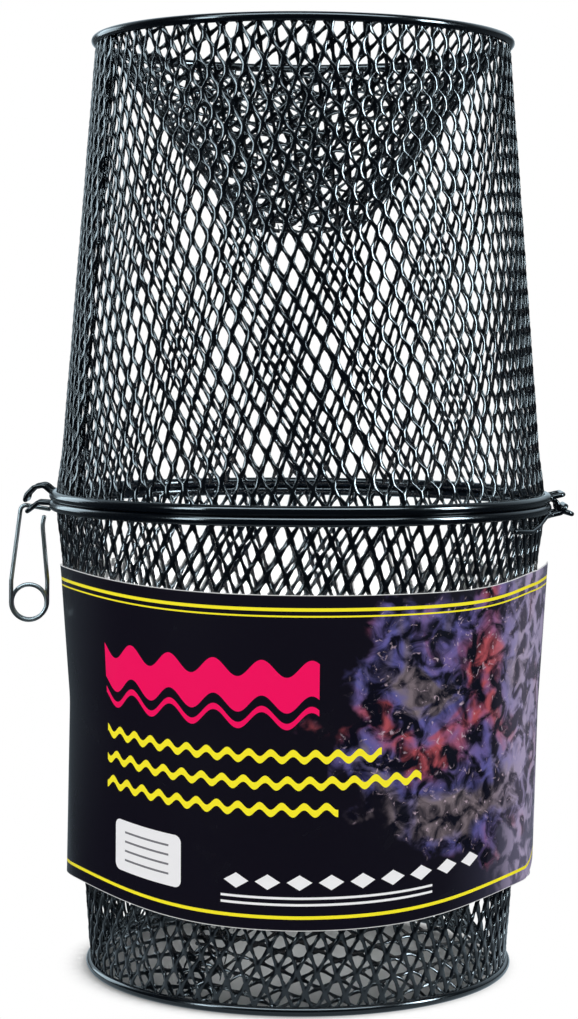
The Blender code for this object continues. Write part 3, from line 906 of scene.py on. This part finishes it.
class TRAP_OT_rims(bpy.types.Operator):
    """Turn the four round wire rims"""

    bl_idname = "trap.rims"
    bl_label = "Rims"

    segments = 288
    sides = 24
    butt_swell = 0.05
    butt_reach = 2.6 * MM

    def ring(self, radius, height, weld_deg, coating):
        """Round wire ring, a little thicker where its ends are butted together."""
        shape = bmesh.new()
        loops = []
        for segment in range(self.segments):
            azimuth = FULL_TURN * segment / self.segments
            off = math.remainder(azimuth - math.radians(weld_deg), FULL_TURN) * radius
            butt = self.butt_swell * math.exp(-(off / self.butt_reach) ** 2)
            loop = []
            for cosine, sine in circle(self.sides):
                out = radius + RIM_RADIUS * (coating + butt) * cosine
                rise = RIM_RADIUS * coating * sine
                loop.append(shape.verts.new(at_axis((out * math.sin(azimuth),
                                                     -out * math.cos(azimuth), height + rise))))
            loops.append(loop)
        for near, far in zip(loops, loops[1:] + loops[:1]):
            for side in range(self.sides):
                ahead = (side + 1) % self.sides
                shape.faces.new((near[side], far[side], far[ahead], near[ahead]))
        return shape

    def execute(self, context):
        # Name, radius, height, azimuth of the weld, and thickness of the coating
        rows = (
            ("lower_end_rim", END_RIM_RADIUS, RIM_RADIUS, 150.0, 1.0),
            ("lower_seam_rim", SEAM_RIM_RADIUS, LOWER_SEAM_RIM_Z, 200.0, 1.12),
            ("upper_seam_rim", SEAM_RIM_RADIUS, UPPER_SEAM_RIM_Z, -20.0, 1.12),
            ("upper_end_rim", END_RIM_RADIUS, TRAP_LENGTH - RIM_RADIUS, 30.0, 1.0),
        )
        for name, *sizes in rows:
            piece = closed_object(name + "_wire", self.ring(*sizes), vinyl_finish())
            settle(piece, name, name.split("_")[0] + "_half")
        return {"FINISHED"}


class TRAP_OT_clip_ears(bpy.types.Operator):
    """Bend the two ears that hold the clip"""

    bl_idname = "trap.clip_ears"
    bl_label = "Clip ears"

    lower_half_width = 4.5 * MM
    upper_half_width = 7.5 * MM
    lower_weld_deg = 14
    upper_weld_deg = 42
    claw_x = -(SEAM_RIM_RADIUS + 13.0 * MM)
    claw_z = CLIP_PIVOT_Z + 2.6 * MM + CLIP_HANG + JOIN_GAP
    crown_z = UPPER_SEAM_RIM_Z + 4.2 * MM
    crown_out = 3.2 * MM
    brow = (3.9 * MM, -0.9 * MM)
    cheek = (0.6 * MM, -4.3 * MM)

    def execute(self, context):
        weld = weld_point(-1, self.lower_half_width, LOWER_SEAM_RIM_Z, self.lower_weld_deg)
        line = [weld, ((weld[0] + CLIP_PIVOT_X) / 2, weld[1]), (CLIP_PIVOT_X, CLIP_PIVOT_Z)]
        welded_loop("lower_clip_ear", staple(line, self.lower_half_width), EAR_WIRE / 2,
                    EAR_WIRE, LOWER_SEAM_RIM_Z, "lower_half")
        weld = weld_point(-1, self.upper_half_width, UPPER_SEAM_RIM_Z, self.upper_weld_deg)
        line = [weld, (weld[0] - self.crown_out, self.crown_z)]
        line += [(self.claw_x + x, self.crown_z + z) for x, z in (self.brow, self.cheek)]
        line.append((self.claw_x, self.claw_z))
        welded_loop("upper_clip_ear", staple(line, self.upper_half_width), EAR_WIRE / 2,
                    EAR_WIRE * 1.2, UPPER_SEAM_RIM_Z, "upper_half")
        return {"FINISHED"}


class TRAP_OT_hinge(bpy.types.Operator):
    """Bend the three wires of the hinge"""

    bl_idname = "trap.hinge"
    bl_label = "Hinge wires"

    # Azimuth from +X and height against the rim of each bend in a wing on the mesh
    wing = ((34, -7.2 * MM), (25, -8.4 * MM), (20, -6.8 * MM), (9, -3.7 * MM))
    mesh_clearance = 0.35 * MM
    pin_half_width = 9.0 * MM
    tongue_half_width = 5.5 * MM
    tongue_weld_deg = -21
    tongue_bends = ((-3.5 * MM, 1.7 * MM), (-3.5 * MM, -1.8 * MM), (3.1 * MM, -3.8 * MM))
    guide_half_width = 9.5 * MM
    guide_weld_deg = -4
    guide_tip = (7.2 * MM, 1.5 * MM)
    bead_sizes = (1.5 * MM, 1.9 * MM, 0.9 * MM)

    def pin_wire(self):
        """Wire with wings along the lower basket and a loop out to the hinge pin."""
        clear = HINGE_WIRE / 2 + JOIN_GAP
        near = []
        for angle_deg, level in self.wing:
            height = LOWER_SEAM_RIM_Z + level
            radius = wall_radius(height) + clear + self.mesh_clearance
            turn = math.radians(-angle_deg)
            near.append(Vector((radius * math.cos(turn), radius * math.sin(turn), height)))
        under_rim = (SEAM_RIM_RADIUS + 1.6 * MM, LOWER_SEAM_RIM_Z - WELD - clear + 0.3 * MM)
        knee = (PIN_X - 2.2 * MM, PIN_Z - 3.0 * MM)
        for x, z in (under_rim, knee, (PIN_X, PIN_Z)):
            near.append(Vector((x, -self.pin_half_width, z)))
        far = [Vector((point.x, -point.y, point.z)) for point in reversed(near)]
        return rounded(near + far, HINGE_WIRE)

    def execute(self, context):
        shape = bmesh.new()
        tube(shape, self.pin_wire(), HINGE_WIRE / 2)
        for side in (-1, 1):
            under = (SEAM_RIM_RADIUS + 0.4 * MM, side * self.pin_half_width,
                     LOWER_SEAM_RIM_Z - RIM_RADIUS - 0.3 * MM)
            bead(shape, under, self.bead_sizes)
        piece = closed_object("hinge_pin_wire_coated", shape, vinyl_finish())
        settle(piece, "hinge_pin_wire", "lower_half")
        weld = weld_point(1, self.tongue_half_width, UPPER_SEAM_RIM_Z, self.tongue_weld_deg)
        line = [weld] + [(PIN_X + x, PIN_Z + z) for x, z in self.tongue_bends]
        welded_loop("hinge_tongue", staple(line, self.tongue_half_width), HINGE_WIRE / 2,
                    HINGE_WIRE, UPPER_SEAM_RIM_Z, "upper_half")
        weld = weld_point(1, self.guide_half_width, UPPER_SEAM_RIM_Z, self.guide_weld_deg)
        reach, rise = self.guide_tip
        line = [weld, (SEAM_RIM_RADIUS + reach, UPPER_SEAM_RIM_Z + rise)]
        welded_loop("hinge_guide", staple(line, self.guide_half_width), HINGE_WIRE / 2,
                    HINGE_WIRE, UPPER_SEAM_RIM_Z, "upper_half")
        return {"FINISHED"}


class TRAP_OT_clip(bpy.types.Operator):
    """Wind the spring clip"""

    bl_idname = "trap.clip"
    bl_label = "Spring clip"

    turns = 1.5
    coil_radius = 8.0 * MM
    pitch = 2.6 * MM
    coil_points = 36
    coil_x = CLIP_PIVOT_X + 0.8 * MM
    coil_z = CLIP_PIVOT_Z - 41.6 * MM
    lead = Vector((0, 0, 10 * MM))
    corner_bend = 2.6 * MM
    leg_bend = 12 * MM

    def points(self):
        """Middle line of the clip: bar, left leg, coil, right leg."""
        half_run = self.pitch * self.turns / 2
        bar_z = CLIP_PIVOT_Z + CLIP_HANG
        corner = Vector((CLIP_PIVOT_X - 3.1 * MM, 0, bar_z + 0.5 * MM))
        bar_end = Vector((-(SEAM_RIM_RADIUS + 2.6 * MM), 0, bar_z - 1.6 * MM))
        start = Vector((self.coil_x - self.coil_radius, -half_run, self.coil_z))
        stop = Vector((self.coil_x + self.coil_radius, half_run, self.coil_z))
        points = rounded([bar_end, corner, start + self.lead, start], self.corner_bend)[:-1]
        steps = round(self.coil_points * self.turns)
        for step in range(steps + 1):
            share_done = step / steps
            turn = math.pi + FULL_TURN * self.turns * share_done
            points.append(Vector((self.coil_x + self.coil_radius * math.cos(turn),
                                  -half_run + 2 * half_run * share_done,
                                  self.coil_z + self.coil_radius * math.sin(turn))))
        waist = stop + Vector((-2.1 * MM, -half_run, 35.1 * MM))
        top = stop + Vector((-1.4 * MM, -half_run, 39.0 * MM))
        return points + rounded([stop, stop + self.lead, waist, top], self.leg_bend)[1:]

    def execute(self, context):
        shape = bmesh.new()
        tube(shape, self.points(), CLIP_WIRE / 2, 18)
        piece = closed_object("spring_clip_wire", shape, steel_finish())
        settle(piece, "spring_clip", "clip")
        return {"FINISHED"}


class TRAP_OT_sleeve(bpy.types.Operator):
    """Wrap the printed card round the lower half"""

    bl_idname = "trap.sleeve"
    bl_label = "Card sleeve"

    columns = 252
    rows = 36
    lap = math.radians(25)
    top_corner_rise = 4.0 * MM
    bottom_corner_rise = 9.0 * MM
    sharp_edge = math.radians(50)

    # Degrees: where the card is pulled in, and how far the pull and each climb spread
    pull_deg = -90
    pull_spread = 45
    left_spread = 33
    right_spread = 17
    foot_spread = 30

    def inner_radius(self, sizes, height):
        """Inner radius of the card: it bears on the mesh at its top and stands off below."""
        bearing = wall_radius(sizes.top) + sizes.top_slack
        waist = wall_radius(sizes.waist) + sizes.waist_slack
        foot = wall_radius(sizes.bottom) + sizes.bottom_slack
        if height >= sizes.top:
            return wall_radius(height) + sizes.top_slack
        if height >= sizes.waist:
            return waist + (bearing - waist) * (height - sizes.waist) / (sizes.top - sizes.waist)
        return foot + (waist - foot) * (height - sizes.bottom) / (sizes.waist - sizes.bottom)

    def outer_point(self, sizes, turn, level, inset):
        """Point of the card at a turn and a share of its height, inset from its face."""
        lap_to = sizes.start_turn + FULL_TURN

        def ease(value):
            value = min(1.0, max(0.0, value))
            return value * value * (3 - 2 * value)

        def swell(azimuth, middle, width):
            return math.exp(-((azimuth - middle) / width) ** 2)

        lapped = ease((turn - lap_to + self.lap) / self.lap) * (sizes.card + JOIN_GAP)
        lifted = ease((turn - lap_to) / (sizes.end_turn - lap_to))
        height = sizes.bottom + (sizes.top - sizes.bottom) * level
        waist_level = (sizes.waist - sizes.bottom) / (sizes.top - sizes.bottom)
        if level >= waist_level:
            above = (level - waist_level) / (1 - waist_level)
            rise = self.top_corner_rise * above
            tight = 1.0 - 0.75 * above
        else:
            rise = self.bottom_corner_rise * (waist_level - level) / waist_level
            tight = level / waist_level
        azimuth = math.degrees(math.remainder(turn, FULL_TURN))
        pull = sizes.left_pull * tight * swell(azimuth, self.pull_deg, self.pull_spread)
        climb = level * (
            sizes.left_climb * swell(azimuth, sizes.left_deg, self.left_spread)
            + sizes.right_climb * swell(azimuth, sizes.right_deg, self.right_spread))
        climb += (sizes.foot_climb * (1 - level)
                  * swell(abs(azimuth), sizes.foot_deg, self.foot_spread))
        spring = sizes.flap_lift * lifted * (0.15 + 0.85 * level)
        radius = (self.inner_radius(sizes, height + climb) + lapped + spring - pull
                  + sizes.card - inset)
        return at_axis((radius * math.sin(turn), -radius * math.cos(turn),
                        height + rise * lifted + climb))

    def execute(self, context):
        sizes = context.scene.trap_sleeve
        colors = context.scene.trap_colors
        sweep = sizes.end_turn - sizes.start_turn
        shape = bmesh.new()
        layer = shape.loops.layers.uv.new("wrap")
        front, back = [[[shape.verts.new(self.outer_point(
            sizes, sizes.start_turn + sweep * (column / self.columns), row / self.rows, inset))
            for row in range(self.rows + 1)] for column in range(self.columns + 1)]
            for inset in (0.0, sizes.card)]

        def add(corners, places, slot):
            face = shape.faces.new(corners)
            face.material_index = slot
            for loop, (column, row) in zip(face.loops, places):
                loop[layer].uv = (column / self.columns, row / self.rows)

        def cut_edge(pair):
            across = pair[::-1]
            corners = [back[a][b] for a, b in pair] + [front[a][b] for a, b in across]
            add(corners, pair + across, 2)

        for column in range(self.columns):
            for row in range(self.rows):
                places = [(column, row), (column + 1, row),
                          (column + 1, row + 1), (column, row + 1)]
                add([front[a][b] for a, b in places], places, 0)
                places.reverse()
                add([back[a][b] for a, b in places], places, 1)
        for column in range(self.columns):
            cut_edge([(column, 0), (column + 1, 0)])
            cut_edge([(column + 1, self.rows), (column, self.rows)])
        for row in range(self.rows):
            cut_edge([(0, row + 1), (0, row)])
            cut_edge([(self.columns, row), (self.columns, row + 1)])
        piece = closed_object("card_sleeve", shape)
        for finish in (print_finish(), board_finish("card_back", colors.card_edge),
                       board_finish("card_cut_edge", colors.card_edge)):
            piece.data.materials.append(finish)
        piece.data.set_sharp_from_angle(angle=self.sharp_edge)
        settle(piece, "label_sleeve", "lower_half")
        return {"FINISHED"}


class TRAP_OT_stage(bpy.types.Operator):
    """Set up the floor, the lights and the camera"""

    bl_idname = "trap.stage"
    bl_label = "Stage"

    # Name, place, width and height of each soft light
    strips = (
        ("left_light", (-0.92, -0.77, 0.58), 0.26, 0.6),
        ("right_light", (1.14, -0.4, 0.58), 0.28, 0.6),
        ("back_light", (-0.95, 0.72, 0.5), 0.6, 0.7),
        ("front_light", (0.0, -0.7, 1.25), 1.9, 0.5),
    )
    strip_color = (0.72, 0.90, 1.0)
    light_target = Vector((0, 0, 0.2))
    fill_height = 0.15
    floor_z = -0.2 * MM
    shift = (-0.0121, -0.1553)

    def rays(self, nodes):
        """Shares of rays that look at the stage, also through glass, and of gloss rays."""
        path = nodes.node("ShaderNodeLightPath")
        seen = nodes.most(nodes.number(path, "Is Camera Ray"),
                          nodes.number(path, "Is Transmission Ray"))
        return seen, nodes.number(path, "Is Glossy Ray")

    def world(self, stage):
        """White where it is seen, and an even light elsewhere."""
        world = bpy.data.worlds.new("white_surround")
        bpy.context.scene.world = world
        world.use_nodes = True
        nodes = Nodes(world.node_tree)
        side, back, up = nodes.split(nodes.node("ShaderNodeTexCoord").outputs["Generated"])
        seen, gloss = self.rays(nodes)
        open_way = nodes.most(nodes.smooth(abs(side), 0.45, 0.05), nodes.smooth(up, 0.05, 0.3))
        sheen = nodes.smooth(back, 0.1, 0.8) * (open_way * 0.95 + 0.05)
        sheen = sheen * (1.0 - stage.front_shade) + stage.front_shade
        others = 1.0 - nodes.most(gloss, seen)
        nodes.feed(world.node_tree.nodes["Background"], {
            "Color": nodes.mix_color(gloss, WHITE, COOL_WHITE),
            "Strength": nodes.most(gloss * sheen, seen) + others * stage.surround,
        })

    def floor(self, stage):
        """Pale floor, coloured dark under the trap as a painted shade over its real shadow, and
        plain white further off.
        """
        shape = bmesh.new()
        bmesh.ops.create_grid(shape, x_segments=8, y_segments=8, size=6.0)
        look, nodes, shader = new_finish("white_floor")
        x, y, _ = nodes.split(nodes.place())
        reach = nodes.math("SQRT", x * x + y * y)
        far = nodes.smooth(reach, 0.086, 0.106)
        # Painted shade: the floor's own colour is dark within the trap's footprint
        nodes.feed(shader, {
            "Base Color": nodes.mix_color(far, (0.27, 0.28, 0.28), (0.92, 0.92, 0.92)),
            "Roughness": 0.9,
            "Specular IOR Level": 0.0,
        })
        # In gloss the floor glows: brighter near the trap and behind it, darker towards the viewer
        seen, gloss = self.rays(nodes)
        pale = nodes.smooth(y, -0.05, 0.5) * (nodes.smooth(abs(x), 0.3, 0.0) * 0.8 + 0.1)
        close = nodes.smooth(reach, 0.2, 0.13) * (far * 0.6 + 0.3)
        shade = (1.0 - nodes.most(pale, close)) * gloss * (1.0 - stage.front_shade)
        grey = nodes.mix_color(shade, nodes.mix_color(gloss, WHITE, COOL_WHITE), BLACK)
        glow = nodes.node("ShaderNodeEmission", None, {"Color": grey, "Strength": 1.0})
        mixed = nodes.node("ShaderNodeMixShader", None, {
            0: nodes.most(far * seen, gloss), 1: shader.outputs["BSDF"],
            2: glow.outputs["Emission"]})
        nodes.feed(look.node_tree.nodes["Material Output"], {"Surface": mixed.outputs[0]})
        for vertex in shape.verts:
            vertex.co.z = self.floor_z
        linked_object("floor", shape, look)

    def lamp(self, name, kind, watts, place):
        """Light that the camera doesn't see, and its object."""
        light = bpy.data.lights.new(name, kind)
        light.energy = watts
        holder = link(name, light)
        holder.location = place
        holder.visible_camera = False
        return light, holder

    def lights(self, stage):
        """Soft lights seen in gloss only, and a small one that brightens the card's inside."""
        for name, place, width, height in self.strips:
            light, holder = self.lamp(name, "AREA", getattr(stage, name), place)
            light.shape = "RECTANGLE"
            light.size, light.size_y = width, height
            light.color = self.strip_color
            aim = self.light_target - Vector(place)
            holder.rotation_euler = aim.to_track_quat("-Z", "Y").to_euler()
            holder.visible_diffuse = False
        light, holder = self.lamp("inner_light", "POINT", stage.inner_light,
                                  (AXIS_X, 0, self.fill_height))
        light.shadow_soft_size = 0.03
        holder.visible_glossy = False

    def execute(self, context):
        stage = context.scene.trap_stage
        context.scene.view_settings.view_transform = "Standard"
        self.world(stage)
        self.floor(stage)
        self.lights(stage)
        lens = bpy.data.cameras.new("camera")
        lens.lens = stage.lens
        lens.sensor_fit = "AUTO"
        lens.shift_x, lens.shift_y = self.shift
        lens.clip_start = 0.01
        camera = link("camera", lens)
        camera.location = (AXIS_X, -stage.camera_distance, stage.camera_height)
        camera.rotation_euler = (math.pi / 2, stage.camera_roll, 0)
        context.scene.camera = camera
        return {"FINISHED"}


class TRAP_PT_panel(bpy.types.Panel):
    """The trap's pieces in the sidebar."""

    bl_label = "Crayfish trap"
    bl_idname = "TRAP_PT_panel"
    bl_space_type = "VIEW_3D"
    bl_region_type = "UI"
    bl_category = "Trap"

    def draw(self, context):
        for group in GROUPS:
            column = self.layout.column(align=True)
            settings = getattr(context.scene, group)
            for name in settings.__annotations__:
                column.prop(settings, name)
        for operator in OPERATORS:
            self.layout.operator(operator.bl_idname)


OPERATORS = (
    TRAP_OT_baskets,
    TRAP_OT_funnels,
    TRAP_OT_rims,
    TRAP_OT_clip_ears,
    TRAP_OT_hinge,
    TRAP_OT_clip,
    TRAP_OT_sleeve,
    TRAP_OT_stage,
)
GROUPS = {
    "trap_mesh": TrapMeshSizes,
    "trap_sleeve": TrapSleeveSizes,
    "trap_colors": TrapColors,
    "trap_stage": TrapStage,
}


def register():
    """Register the settings, the operators and the panel."""
    for name, group in GROUPS.items():
        bpy.utils.register_class(group)
        setattr(bpy.types.Scene, name, bpy.props.PointerProperty(type=group))
    for operator in OPERATORS:
        bpy.utils.register_class(operator)
    bpy.utils.register_class(TRAP_PT_panel)


def unregister():
    """Take the panel, the operators and the settings away again."""
    bpy.utils.unregister_class(TRAP_PT_panel)
    for operator in reversed(OPERATORS):
        bpy.utils.unregister_class(operator)
    for name, group in GROUPS.items():
        delattr(bpy.types.Scene, name)
        bpy.utils.unregister_class(group)


def main():
    """Make every piece."""
    register()
    bpy.ops.trap.baskets()
    bpy.ops.trap.funnels()
    bpy.ops.trap.rims()
    bpy.ops.trap.clip_ears()
    bpy.ops.trap.hinge()
    bpy.ops.trap.clip()
    bpy.ops.trap.sleeve()
    bpy.ops.trap.stage()


if __name__ == "__main__":
    main()
